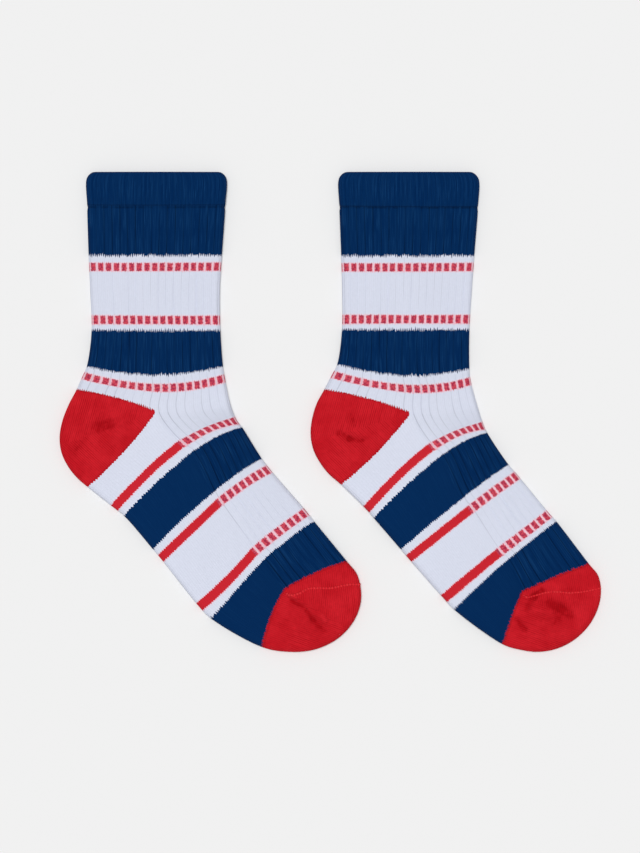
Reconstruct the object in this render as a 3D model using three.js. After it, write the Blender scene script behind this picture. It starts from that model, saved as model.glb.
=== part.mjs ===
// A pair of children's crew socks lying flat on a surface, soles to the left and toes to the lower right.
// Each sock is knitted in the round: a turned cuff, one ribbed tube for the leg and foot with a notch behind
// the ankle, a heel pocket that fills the notch, and a toe pocket. All of them are hollow walls, flattened so
// that the upper layer lies on the lower one, and the sock is open at the cuff.
// Millimetres, +X to the right and +Y up the leg as seen from above, +Z up from the surface.
import * as THREE from 'three';
import { mergeVertices } from 'three/addons/utils/BufferGeometryUtils.js';

const RIBS_PER_HALF = 9; // ribs from the side line to a folded edge, so 36 round the leg
const CREST_HALF = 0.34; // half of a rib's crest, as a share of the pitch
const GROOVE_DEPTH = 0.75; // how far a groove lies below the crests
const WALL = { cuff: 2.3, tube: 1.9, pocket: 2.0 }; // thickness of one layer of cloth
const SEAM_GAP = 0.3; // clearance between two knitted pieces
const FOLD_RADIUS = 2.8; // how far in from a folded edge the cloth reaches its full height
const FOLD_LINE = 0.46; // height of the folded edge, as a share of the flattened height
const FOLD_STEPS = [0, 0.35, 1.2, 2.8]; // distances from the folded edge, where a plain layer has points
const EDGE_HEIGHT = 0.9; // height beside the folded edge, as a share of the height on the side line
const RIM_STEPS = 4; // facets round the turned edge of the cuff
const INNER_STEPS = 6; // points of the inner face from the side line to a folded edge
const MIN_CAVITY = 0.3; // least space left between the two layers
const NOMINAL_REACH = 37; // from the side line to a fold, which sets where the fold's points lie
const UPPER_STEPS = 6; // points of a plain upper face from the side line to a folded edge
const UNDER_STEPS = 4; // the same for the face that lies on the surface
const WELD = 0.001; // points nearer than this are one

// Courses are the rows of knitting. Each row below is one course: where it meets the back fold, the side line
// halfway, and the front fold, then the flattened height and the number of steps to the next course.
const leftLeg = [
  { at: 'mouth', back: [-119.5, 120.2], side: [-87, 120.2], front: [-54.2, 120.2], height: 5.4, steps: 2 },
  { at: 'cuff shoulder', back: [-121.9, 117], side: [-87, 117], front: [-51.9, 117], height: 5.6, steps: 2 },
  { at: 'cuff seam', back: [-121.7, 103.5], side: [-87.2, 103.3], front: [-52.4, 103.6], height: 5.4, steps: 2 },
  { at: 'top band end', back: [-121, 79], side: [-87.5, 78.8], front: [-54.1, 79.2], height: 4.8, steps: 1 },
  { at: 'mid leg', back: [-120.2, 61], side: [-87.8, 61], front: [-55.2, 61], height: 4.6, steps: 2 },
  { at: 'leg band start', back: [-119.5, 40.8], side: [-87.2, 40.4], front: [-54.9, 40.6], height: 4.6, steps: 2 },
  { at: 'leg band end', back: [-121.9, 22.8], side: [-87.2, 18.6], front: [-53.6, 22.6], height: 4.8, steps: 1 },
  { at: 'ankle stripe', back: [-124.2, 17.6], side: [-86.4, 12], front: [-52.6, 16.6], height: 5, steps: 2 },
  { at: 'heel start', back: [-127.1, 11], side: [-87.6, 0.2], front: [-49.9, 3.8], height: 5.4, steps: 3 },
];
const leftFoot = [
  { at: 'heel end', back: [-121.9, -37.2] },
  { at: 'first stripe', back: [-108, -48.2], side: [-75.2, -16.6], front: [-46.9, -3.9], height: 5.4, steps: 1 },
  { at: 'foot band start', back: [-103, -52.2], side: [-69.6, -20.8], front: [-43.9, -7.9], height: 5.2, steps: 2 },
  { at: 'foot band end', back: [-88.8, -68.7], side: [-59.2, -40.6], front: [-34.3, -23.2], height: 5, steps: 1 },
  { at: 'second stripe', back: [-84.9, -73.3], side: [-56, -45.8], front: [-30.2, -28.6], height: 5, steps: 3 },
  { at: 'third stripe', back: [-65.8, -97.3], side: [-38.3, -70.3], front: [-11.8, -49.9], height: 5.2, steps: 1 },
  { at: 'toe band start', back: [-60, -103.2], side: [-34, -74.6], front: [-8.1, -54.6], height: 5.3, steps: 3 },
  { at: 'toe start', back: [-33.4, -118], side: [-22.4, -89], front: [8.6, -75], height: 5.6, steps: 0 },
];
const rightLeg = [
  { at: 'mouth', back: [7, 120.2], side: [39.5, 120.2], front: [71.8, 120.2], height: 5.4, steps: 2 },
  { at: 'cuff shoulder', back: [4.5, 117], side: [39.5, 116.8], front: [74.5, 116.8], height: 5.6, steps: 2 },
  { at: 'cuff seam', back: [4.7, 103], side: [39.5, 102.6], front: [74.2, 102.7], height: 5.4, steps: 2 },
  { at: 'top band end', back: [5.6, 78.8], side: [39.2, 78.6], front: [72.4, 79], height: 4.8, steps: 1 },
  { at: 'mid leg', back: [6.1, 61], side: [38.8, 61], front: [71.1, 61], height: 4.6, steps: 2 },
  { at: 'leg band start', back: [6, 41], side: [38, 40.8], front: [69.9, 41], height: 4.6, steps: 2 },
  { at: 'leg band end', back: [3.6, 23.8], side: [38.2, 18.3], front: [69.9, 21.6], height: 4.8, steps: 1 },
  { at: 'ankle stripe', back: [0.7, 18], side: [39.6, 11.6], front: [70.6, 15.4], height: 5, steps: 2 },
  { at: 'heel start', back: [-3, 11], side: [39.6, -0.6], front: [73.9, 3], height: 5.4, steps: 3 },
];
const rightFoot = [
  { at: 'heel end', back: [5, -35.9] },
  { at: 'first stripe', back: [18.2, -48.8], side: [50.1, -18], front: [77, -6.6], height: 5.4, steps: 1 },
  { at: 'foot band start', back: [22, -53.2], side: [55, -22.7], front: [78.9, -10.6], height: 5.2, steps: 2 },
  { at: 'foot band end', back: [35.3, -68.6], side: [65.3, -43.6], front: [89.3, -26.1], height: 5, steps: 1 },
  { at: 'second stripe', back: [39.3, -73.3], side: [69.7, -49.2], front: [94, -31.6], height: 5, steps: 3 },
  { at: 'third stripe', back: [56.9, -93.3], side: [84, -70.8], front: [110, -51], height: 5.2, steps: 1 },
  { at: 'toe band start', back: [62, -98.8], side: [88.4, -75.2], front: [113.3, -54.6], height: 5.3, steps: 3 },
  { at: 'toe start', back: [86.8, -116.5], side: [96.4, -90], front: [130, -76.4], height: 5.6, steps: 0 },
];

// Soft folds and ridges in the upper layer: from one point to another, half as wide as width at each side,
// lifting the cloth by rise, or sinking it where rise is negative.
const leftFolds = [
  { at: 'heel mitre', from: [-91, -3], to: [-122, -8], width: 7, rise: -0.9 },
  { at: 'heel dimple', from: [-113, -8], to: [-118, -9.5], width: 9, rise: -0.7 },
  { at: 'heel cup', from: [-120, -14], to: [-112, -26], width: 12, rise: 0.8 },
  { at: 'toe mitre', from: [-20, -93], to: [-4, -107.5], width: 5, rise: -1.1 },
  { at: 'toe knuckle', from: [-7, -103], to: [-1, -106], width: 6, rise: 0.8 },
  { at: 'toe hollow', from: [-12, -106], to: [-5, -108], width: 5, rise: -0.6 },
  { at: 'instep crease', from: [-82, -6], to: [-72, -17], width: 4, rise: -0.5 },
];
const rightFolds = [
  { at: 'heel mitre', from: [34, -6], to: [2, -11], width: 7, rise: -0.8 },
  { at: 'heel dimple', from: [4, -10], to: [17, -13], width: 8, rise: -0.9 },
  { at: 'heel hollow', from: [11, -3], to: [14, -8], width: 6, rise: -0.6 },
  { at: 'heel cup', from: [4, -18], to: [14, -28], width: 12, rise: 0.7 },
  { at: 'toe mitre', from: [100, -94], to: [118, -104], width: 7, rise: -1.1 },
  { at: 'toe crumple', from: [97, -104], to: [105, -109], width: 5, rise: -0.7 },
  { at: 'toe tuck', from: [104, -90], to: [109, -86], width: 5, rise: -0.6 },
  { at: 'toe knuckle', from: [110, -97], to: [122, -94], width: 9, rise: 0.7 },
];

const SOCKS = [
  {
    name: 'left',
    leg: leftLeg,
    foot: leftFoot,
    heelFold: [[-131, 3.6], [-134.2, -4.8], [-135.5, -13], [-134.4, -20.8], [-130.8, -28], [-126.4, -33.3]],
    toeFold: [
      [-20, -120.2], [-8.8, -119.3], [1.4, -115.2], [9, -108.8], [14, -100.6], [15.7, -92], [13.6, -81.4],
    ],
    toeBow: { back: 1.8, front: 1.8 },
    folds: leftFolds,
  },
  {
    name: 'right',
    leg: rightLeg,
    foot: rightFoot,
    heelFold: [[-6.6, 4.4], [-9, -3.6], [-9.7, -11.5], [-8.4, -18.6], [-5.1, -25.2], [-0.4, -31.2]],
    toeFold: [
      [94.8, -119], [104, -120.2], [113.6, -118.6], [122.6, -114], [130, -106.6], [134.6, -97.4], [135.8, -88.6],
      [134.2, -81.6],
    ],
    toeBow: { back: 1, front: 0.4 },
    folds: rightFolds,
  },
];
const CUFF_SEAM = 2; // row of the leg tables where the cuff meets the tube

// How a pocket is knitted: its rows, how much higher it stands than its edges, the clearance at its pole, and how
// far its first and last rows bow outwards. Those of the toe bow towards the leg, by each sock's toeBow.
const HEEL = { rows: 12, puff: 1.2, tipGap: 0.6, firstBow: 1.4, lastBow: 2.8 };
const TOE = { rows: 16, puff: 1.3, tipGap: 0.35 };

const YARN = {
  cuff: new THREE.MeshStandardMaterial({ color: 0x032955, roughness: 0.9, metalness: 0 }),
  tube: new THREE.MeshStandardMaterial({ color: 0xd7dbe9, roughness: 0.9, metalness: 0 }),
  pocket: new THREE.MeshStandardMaterial({ color: 0xc31e25, roughness: 0.92, metalness: 0 }),
};

const flat = ([x, y]) => new THREE.Vector3(x, y, 0);
const mix = THREE.MathUtils.lerp;
const smooth = (points) => new THREE.CatmullRomCurve3(points, false, 'centripetal');

// One curve goes right round the sock, down the back, round the heel, along the sole, round the toe and up the
// front. A second one runs down the side line and carries the height.
function layOut(sock) {
  const footAfterHeel = sock.foot.slice(1);
  const courses = [...sock.leg, ...footAfterHeel];
  const fronts = courses.map((c) => flat(c.front)).reverse();
  const outline = smooth([
    ...sock.leg.map((c) => flat(c.back)),
    ...sock.heelFold.map(flat),
    ...sock.foot.map((c) => flat(c.back)),
    ...sock.toeFold.map(flat),
    ...fronts,
  ]);
  const side = smooth(courses.map((c) => new THREE.Vector3(...c.side, c.height)));
  const heelStart = sock.leg.length - 1;
  const heelEnd = heelStart + sock.heelFold.length + 1;
  const toeStart = heelEnd + footAfterHeel.length;
  return {
    courses,
    outline,
    side,
    heelStart,
    heelEnd,
    toeStart,
    toeEnd: toeStart + sock.toeFold.length + 1,
    last: outline.points.length - 1,
    toeBow: sock.toeBow,
    folds: sock.folds,
  };
}

const outlineAt = (lie, index) => lie.outline.getPoint(index / lie.last);

// The bend that takes a course smoothly from its back fold through the pole on the side line to its front fold.
const throughPole = (back, pole, front) => pole.clone().sub(back.clone().add(front).multiplyScalar(0.5)).setZ(0);

// The bend of a spoke that bows to its right, looking outwards from the pole.
function bowed(edge, pole, bow) {
  const along = edge.clone().sub(pole).setZ(0).normalize();
  return new THREE.Vector3(along.y, -along.x, 0).multiplyScalar(4 * bow);
}

// The course at a place counted in rows of the tables, as its back and front spokes. A spoke is half a course, from
// a pole on the side line to the folded edge. Past the heel the back fold lies on the sole. Near the heel the back
// spokes take the bow of the pocket's rows, and the front ones turn from the leg's course to the foot's. Near the
// toe both take the bow of the toe pocket's edges.
function courseAt(lie, place, onFoot) {
  const sideLast = lie.courses.length - 1;
  const pole = lie.side.getPoint(place / sideLast);
  const back = outlineAt(lie, onFoot ? lie.heelEnd + place - lie.heelStart : place);
  const front = outlineAt(lie, lie.last - place);
  const heelShare = Math.max(1 - Math.abs(place - lie.heelStart), 0);
  const legBack = outlineAt(lie, lie.heelStart);
  const heelBend = bowed(back, pole, onFoot ? -HEEL.lastBow : HEEL.firstBow);
  const bend = throughPole(back, pole, front);
  const frontBend = onFoot ? bend.clone().lerp(throughPole(legBack, pole, front), heelShare) : bend;
  const backBend = bend.clone().lerp(heelBend, heelShare);
  const toeShare = Math.max(place + 1 - sideLast, 0);
  const shared = { pole, height: pole.z, puff: 0, folds: lie.folds };
  return {
    back: { ...shared, edge: back, bend: backBend.lerp(bowed(back, pole, lie.toeBow.back), toeShare) },
    front: { ...shared, edge: front, bend: frontBend.clone().lerp(bowed(front, pole, -lie.toeBow.front), toeShare) },
  };
}

function foldRise(folds, x, y) {
  let rise = 0;
  for (const fold of folds) {
    const [dx, dy] = [fold.to[0] - fold.from[0], fold.to[1] - fold.from[1]];
    const share = ((x - fold.from[0]) * dx + (y - fold.from[1]) * dy) / (dx * dx + dy * dy);
    const near = THREE.MathUtils.clamp(share, 0, 1);
    const away = Math.hypot(x - fold.from[0] - near * dx, y - fold.from[1] - near * dy);
    const spread = (2 * away) / fold.width;
    rise += fold.rise * Math.exp(-spread * spread);
  }
  return rise;
}

// A point of the cloth: q runs from 0 on the side line to 1 on the folded edge, depth from 0 on the outer face
// to the wall's thickness on the inner one.
function clothPoint(spoke, q, upper, depth, wall, groove = 0) {
  const { edge, pole, bend } = spoke;
  const reach = Math.hypot(edge.x - pole.x, edge.y - pole.y);
  const p = q * (1 - depth / reach);
  const x = pole.x + p * (edge.x - pole.x) + p * (1 - p) * bend.x;
  const y = pole.y + p * (edge.y - pole.y) + p * (1 - p) * bend.y;
  const radius = FOLD_RADIUS - depth / 2;
  const fromFold = Math.min(((1 - q) * (reach - depth)) / radius, 1);
  const opening = Math.sqrt(1 - (1 - fromFold) ** 2);
  const middle = FOLD_LINE * spoke.height;
  const lowest = Math.max(2 * wall + MIN_CAVITY, EDGE_HEIGHT * spoke.height);
  const crown = mix(EDGE_HEIGHT, 1, Math.cos((q * Math.PI) / 2)) * spoke.height;
  const puffed = crown + spoke.puff * Math.sin(q * Math.PI);
  const full = Math.max(puffed + foldRise(spoke.folds, x, y), lowest);
  const z = upper ? middle + (full - depth - groove - middle) * opening : middle - (middle - depth) * opening;
  return new THREE.Vector3(x, y, z);
}

// A lane is one place across a spoke. key grows right round the tube: 0 at the back fold, 1 on the upper side
// line, 2 at the front fold and 3 on the lower side line.
const plainLane = (q) => ({ q, groove: 0 });
const FOLD_LANES = FOLD_STEPS.map((d) => plainLane(1 - d / NOMINAL_REACH));

function ribLanes() {
  const pitch = 1 / RIBS_PER_HALF;
  const lanes = FOLD_LANES.slice(0, 2);
  for (let rib = 0; rib < RIBS_PER_HALF; rib++) {
    const crest = 1 - rib * pitch;
    lanes.push(plainLane(crest - CREST_HALF * pitch));
    lanes.push({ q: crest - pitch / 2, groove: GROOVE_DEPTH });
    lanes.push(plainLane(crest - (1 - CREST_HALF) * pitch));
  }
  return [...lanes, plainLane(0)];
}

// The given lanes by the fold, and then even ones to the side line.
function addEvenLanes(lanes, steps) {
  const from = lanes.at(-1).q;
  const even = Array.from({ length: steps }, (_, i) => plainLane(from * (1 - (i + 1) / steps)));
  return [...lanes, ...even];
}

const PLAIN = addEvenLanes(FOLD_LANES, UPPER_STEPS);
const UNDERSIDE = addEvenLanes(FOLD_LANES, UNDER_STEPS);
const INSIDE = addEvenLanes([FOLD_LANES[0], FOLD_LANES[2]], INNER_STEPS);
const RIBBED = ribLanes();

// Puts four lists of lanes round the tube. Shared places, on the folds and side lines, are kept once.
function goRound(upperBack, upperFront, lowerFront, lowerBack) {
  const quarter = (lanes, spoke, upper, key) => lanes.map((lane) => ({ ...lane, spoke, upper, key: key(lane.q) }));
  const inward = [...upperFront].reverse();
  const outwardBack = [...lowerBack].reverse();
  return [
    ...quarter(upperBack, 'back', true, (q) => 1 - q),
    ...quarter(inward, 'front', true, (q) => 1 + q).slice(1),
    ...quarter(lowerFront, 'front', false, (q) => 3 - q).slice(1),
    ...quarter(outwardBack, 'back', false, (q) => 3 + q).slice(1, -1),
  ];
}

const LEG_LANES = goRound(RIBBED, RIBBED, UNDERSIDE, UNDERSIDE);
const FOOT_LANES = goRound(PLAIN, RIBBED, UNDERSIDE, UNDERSIDE);
const CUFF_LANES = goRound(PLAIN, PLAIN, UNDERSIDE, UNDERSIDE);
const INNER_LANES = goRound(INSIDE, INSIDE, INSIDE, INSIDE);

// A loop is a list of points with their keys. A closed one ends on its first point, a full turn on.
function ring(course, lanes, depth, wall) {
  const loop = lanes.map((lane) => ({
    key: lane.key,
    point: clothPoint(course[lane.spoke], lane.q, lane.upper, depth, wall, depth === 0 ? lane.groove : 0),
  }));
  return [...loop, { ...loop[0], key: 4 }];
}

// The back half of a ring, from the lower side line by the back fold to the upper one.
function backHalf(loop) {
  const lower = loop.filter((p) => p.key >= 3 && p.key < 4).map((p) => ({ ...p, key: p.key - 4 }));
  return [...lower, ...loop.filter((p) => p.key <= 1)];
}

// A pocket's row goes from the lower pole by the folded edge to the upper pole.
function pocketRow(spoke, depth, wall) {
  const lower = [...UNDERSIDE].reverse().map((lane) => ({ ...lane, upper: false, key: lane.q - 1 }));
  const upper = PLAIN.slice(1).map((lane) => ({ ...lane, upper: true, key: 1 - lane.q }));
  return [...lower, ...upper].map((lane) => ({
    key: lane.key,
    point: clothPoint(spoke, lane.q, lane.upper, depth, wall),
  }));
}

// Fills the strip between two loops, also where one has more points than the other.
function fillStrip(out, a, b) {
  let [i, j] = [0, 0];
  while (i < a.length - 1 || j < b.length - 1) {
    const nextA = i < a.length - 1 ? a[i + 1].key : Infinity;
    const nextB = j < b.length - 1 ? b[j + 1].key : Infinity;
    if (nextA < nextB) {
      out.push([a[i].point, b[j].point, a[i + 1].point]);
      i++;
    } else {
      out.push([a[i].point, b[j].point, b[j + 1].point]);
      j++;
    }
  }
}

function fillStrips(out, loops) {
  for (let k = 0; k < loops.length - 1; k++) fillStrip(out, loops[k], loops[k + 1]);
}

// Welds the triangles to one closed mesh. Those that a pole has shrunk to a line are dropped.
function toGeometry(triangles) {
  const apart = (a, b) => a.distanceTo(b) > WELD;
  const whole = triangles.filter(([a, b, c]) => apart(a, b) && apart(b, c) && apart(c, a));
  const geometry = new THREE.BufferGeometry().setFromPoints(whole.flat());
  return mergeVertices(geometry, WELD);
}

function makePiece(name, triangles, material) {
  const geometry = toGeometry(triangles);
  geometry.computeVertexNormals();
  const mesh = new THREE.Mesh(geometry, material);
  mesh.name = name;
  return mesh;
}

// The places of the courses from one table row to another, with each row's own number of steps.
function placesBetween(courses, first, last) {
  const places = [];
  for (let row = first; row < last; row++) {
    for (let step = 0; step < courses[row].steps; step++) places.push(row + step / courses[row].steps);
  }
  return [...places, last];
}

// The turned cuff: one closed profile from the seam up the outside, over the rounded rim and down the inside.
function makeCuff(lie) {
  const wall = WALL.cuff;
  const rimPlace = wall / 2 / outlineAt(lie, 0).distanceTo(outlineAt(lie, 1));
  const end = CUFF_SEAM - SEAM_GAP / outlineAt(lie, CUFF_SEAM - 1).distanceTo(outlineAt(lie, CUFF_SEAM));
  const places = [...placesBetween(lie.courses, 0, CUFF_SEAM).filter((p) => p > rimPlace && p < end), end];
  const at = (place, depth) => ring(courseAt(lie, place, false), CUFF_LANES, depth, wall);
  const rim = Array.from({ length: RIM_STEPS + 1 }, (_, i) => {
    const turn = (Math.PI * i) / RIM_STEPS;
    return at(rimPlace * (1 - Math.sin(turn)), (wall * (1 + Math.cos(turn))) / 2);
  });
  const outside = places.map((place) => at(place, 0));
  const inside = [...places].reverse().map((place) => at(place, wall));
  const triangles = [];
  fillStrips(triangles, [...rim, ...outside, ...inside, rim[0]]);
  return triangles;
}

// The leg and foot tube. On the heel course its front half runs on, and its back half opens round the pocket.
function makeTube(lie) {
  const wall = WALL.tube;
  const last = lie.courses.length - 1;
  const legPlaces = placesBetween(lie.courses, CUFF_SEAM, lie.heelStart);
  const footPlaces = placesBetween(lie.courses, lie.heelStart, last);
  const face = (places, onFoot, lanes, depth) =>
    places.map((place) => ring(courseAt(lie, place, onFoot), lanes, depth, wall));
  const leg = { outer: face(legPlaces, false, LEG_LANES, 0), inner: face(legPlaces, false, INNER_LANES, wall) };
  const foot = { outer: face(footPlaces, true, FOOT_LANES, 0), inner: face(footPlaces, true, INNER_LANES, wall) };
  const triangles = [];
  for (const part of [leg, foot]) {
    fillStrips(triangles, part.outer);
    fillStrips(triangles, [...part.inner].reverse());
  }
  fillStrip(triangles, leg.inner[0], leg.outer[0]);
  fillStrip(triangles, foot.outer.at(-1), foot.inner.at(-1));
  fillStrip(triangles, backHalf(leg.outer.at(-1)), backHalf(leg.inner.at(-1)));
  fillStrip(triangles, backHalf(foot.inner[0]), backHalf(foot.outer[0]));
  return triangles;
}

// The step along the outline, counted in its points, that leaves the clearance square to a seam from the pole.
function seamStep(lie, index, pole) {
  const along = outlineAt(lie, index + 0.5).sub(outlineAt(lie, index - 0.5));
  const across = outlineAt(lie, index).sub(pole).setZ(0).normalize();
  return SEAM_GAP / Math.abs(along.x * across.y - along.y * across.x);
}

// A heel or toe pocket: its rows fan out from a pole on the side line to the folded edge.
function makePocket(lie, pocket, from, to, pole, bendAt) {
  const wall = WALL.pocket;
  const middle = outlineAt(lie, (from + to) / 2);
  const tip = pole.clone().add(middle.clone().sub(pole).setZ(0).setLength(pocket.tipGap));
  const first = from + seamStep(lie, from + 0.5, pole);
  const last = to - seamStep(lie, to - 0.5, pole);
  const spokes = Array.from({ length: pocket.rows + 1 }, (_, row) => {
    const share = row / pocket.rows;
    const edge = outlineAt(lie, mix(first, last, share));
    const puff = pocket.puff * Math.sin(Math.PI * share);
    return { edge, pole: tip, bend: bendAt(edge, share), height: pole.z, puff, folds: lie.folds };
  });
  const outer = spokes.map((spoke) => pocketRow(spoke, 0, wall));
  const inner = spokes.map((spoke) => pocketRow(spoke, wall, wall));
  const triangles = [];
  fillStrips(triangles, [...outer, ...inner.reverse(), outer[0]]);
  return triangles;
}

function makeHeel(lie) {
  const { pole } = courseAt(lie, lie.heelStart, false).back;
  const bendAt = (edge, share) => bowed(edge, pole, mix(HEEL.firstBow, -HEEL.lastBow, share));
  return makePocket(lie, HEEL, lie.heelStart, lie.heelEnd, pole, bendAt);
}

function makeToe(lie) {
  const { pole } = courseAt(lie, lie.courses.length - 1, true).back;
  const bendAt = (edge, share) => {
    const bow = share < 0.5 ? lie.toeBow.back : -lie.toeBow.front;
    return bowed(edge, pole, bow * (1 - 2 * share) ** 2);
  };
  return makePocket(lie, TOE, lie.toeStart, lie.toeEnd, pole, bendAt);
}

function makeSock(sock) {
  const lie = layOut(sock);
  const group = new THREE.Group();
  group.name = `${sock.name}_sock`;
  group.add(
    makePiece(`${sock.name}_cuff`, makeCuff(lie), YARN.cuff),
    makePiece(`${sock.name}_leg_and_foot`, makeTube(lie), YARN.tube),
    makePiece(`${sock.name}_heel`, makeHeel(lie), YARN.pocket),
    makePiece(`${sock.name}_toe`, makeToe(lie), YARN.pocket),
  );
  return group;
}

const pair = new THREE.Group();
pair.name = 'pair_of_socks';
pair.add(...SOCKS.map(makeSock));

export default pair;
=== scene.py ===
import math

import bmesh
import bpy
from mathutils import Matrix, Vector, noise
from mathutils.bvhtree import BVHTree


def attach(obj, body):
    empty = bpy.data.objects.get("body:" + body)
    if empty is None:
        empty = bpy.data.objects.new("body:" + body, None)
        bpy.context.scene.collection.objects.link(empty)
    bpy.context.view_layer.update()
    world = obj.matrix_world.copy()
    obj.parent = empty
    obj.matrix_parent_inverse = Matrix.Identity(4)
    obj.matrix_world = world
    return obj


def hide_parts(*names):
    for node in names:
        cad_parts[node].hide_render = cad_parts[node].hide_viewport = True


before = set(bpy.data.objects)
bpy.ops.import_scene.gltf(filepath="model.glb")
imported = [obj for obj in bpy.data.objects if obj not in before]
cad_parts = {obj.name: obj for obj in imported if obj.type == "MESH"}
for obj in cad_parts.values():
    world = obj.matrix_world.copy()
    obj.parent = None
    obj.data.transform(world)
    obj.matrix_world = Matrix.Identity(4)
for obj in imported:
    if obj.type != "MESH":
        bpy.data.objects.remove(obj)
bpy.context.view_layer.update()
print("frame loaded:", sorted(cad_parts))


# Where one course of knitting meets the back fold, the side line and the front fold, and its flattened height.
def course(at, back, side, front, thick):
    return dict(at=at, back=Vector(back + (0,)), side=Vector(side + (thick,)), front=Vector(front + (0,)))


# A soft ridge from one point to another, which lifts the cloth by rise, or a trough where that is negative.
def crease(start, end, width, rise):
    return dict(start=start, end=end, width=width, rise=rise)


leftSock = dict(
    name="left",
    seed=3.1,
    leg=[
        course("mouth", (-.1195, .1202), (-.0870, .1202), (-.0542, .1202), .0054),
        course("cuff shoulder", (-.1219, .1170), (-.0870, .1170), (-.0519, .1170), .0056),
        course("cuff seam", (-.1217, .1035), (-.0872, .1033), (-.0524, .1036), .0054),
        course("top band end", (-.1210, .0790), (-.0875, .0788), (-.0541, .0792), .0048),
        course("mid leg", (-.1202, .0610), (-.0878, .0610), (-.0552, .0610), .0046),
        course("leg band start", (-.1195, .0408), (-.0872, .0404), (-.0549, .0406), .0046),
        course("leg band end", (-.1219, .0228), (-.0872, .0186), (-.0536, .0226), .0048),
        course("ankle stripe", (-.1239, .0182), (-.0864, .0120), (-.0527, .0171), .0050),
        course("heel start", (-.1271, .0110), (-.0876, .0002), (-.0499, .0038), .0054),
    ],
    heelFold=[(-.1310, .0036), (-.1342, -.0048), (-.1355, -.0130), (-.1344, -.0208), (-.1308, -.0280),
              (-.1264, -.0333)],
    heelEnd=(-.1219, -.0372),
    foot=[
        course("first stripe", (-.1080, -.0482), (-.0752, -.0166), (-.0469, -.0039), .0054),
        course("foot band start", (-.1030, -.0522), (-.0696, -.0208), (-.0439, -.0079), .0052),
        course("foot band end", (-.0888, -.0687), (-.0592, -.0406), (-.0343, -.0232), .0050),
        course("second stripe", (-.0849, -.0733), (-.0560, -.0458), (-.0302, -.0286), .0050),
        course("third stripe", (-.0658, -.0973), (-.0383, -.0703), (-.0118, -.0499), .0052),
        course("toe band start", (-.0600, -.1032), (-.0340, -.0746), (-.0081, -.0546), .0053),
        course("toe start", (-.0334, -.1180), (-.0224, -.0890), (.0086, -.0750), .0056),
    ],
    toeFold=[(-.0200, -.1202), (-.0088, -.1193), (.0014, -.1152), (.0090, -.1088), (.0140, -.1006),
             (.0157, -.0920), (.0136, -.0814)],
    toeBow=dict(back=.0014, front=.0011),   # how far the toe's edge bows back along the foot
    seamDrop=.0010,                         # how far below its course the cuff's join lies
    sag={"second stripe": .0007, "third stripe": .0013, "toe band start": .0007},   # over the plain knit
    toeSeam=[(-.0223, -.0902), (-.0205, -.0914), (-.0160, -.0909), (-.0105, -.0883), (.0010, -.0880),
             (.0060, -.0869), (.0110, -.0862), (.0157, -.0864)],
    toeWales=(1, .10),                      # the line that the toe's outer wales are counted along
    seamRadius=.00052,
    creases=[
        crease((-.1110, -.0072), (-.1160, -.0086), .0076, -.0007),
        crease((-.1010, -.0048), (-.1190, -.0056), .0100, -.0004),
        crease((-.1225, -.0130), (-.1268, -.0190), .0080, -.0007),
        crease((-.1170, -.0160), (-.1110, -.0235), .0130, .0006),
        crease((-.1225, -.0035), (-.1270, .0000), .0080, .0004),
        crease((-.1010, -.0130), (-.1080, -.0180), .0050, -.0003),
        crease((-.0192, -.0942), (-.0130, -.0980), .0026, -.0011),
        crease((-.0116, -.0994), (-.0085, -.1040), .0024, -.0011),
        crease((-.0085, -.1040), (-.0035, -.1092), .0030, -.0010),
        crease((-.0042, -.1018), (-.0022, -.1040), .0032, .0013),
        crease((-.0196, -.0916), (-.0168, -.0924), .0026, .0012),
        crease((-.0120, -.0932), (-.0065, -.0975), .0060, .0005),
        crease((-.0190, -.1010), (-.0120, -.1060), .0070, .0005),
        crease((.0020, -.0960), (.0060, -.1010), .0090, .0005),
        crease((-.0820, -.0060), (-.0720, -.0170), .0040, -.0006),
        crease((-.0640, .0000), (-.0560, -.0060), .0080, -.0006),
        crease((-.1080, .0980), (-.1040, .0620), .0120, -.0005),
        crease((-.0700, .0560), (-.0670, .0300), .0140, -.0005),
        crease((-.0880, -.0480), (-.0660, -.0720), .0200, .0006),
        crease((-.0460, -.0960), (-.0400, -.1120), .0100, -.0006),
    ],
    underCreases=[
        crease((-.0960, -.0040), (-.1200, -.0090), .0070, .0010),
        crease((-.1120, -.0190), (-.1200, -.0230), .0060, .0006),
        crease((-.0140, -.0960), (-.0060, -.1040), .0050, .0011),
        crease((-.0040, -.0930), (.0040, -.0980), .0060, .0006),
        crease((-.0700, -.0100), (-.0600, -.0180), .0060, .0008),
        crease((-.1000, .0900), (-.0980, .0600), .0100, .0005),
        crease((-.0520, -.0700), (-.0420, -.0820), .0080, .0006),
    ],
)
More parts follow.
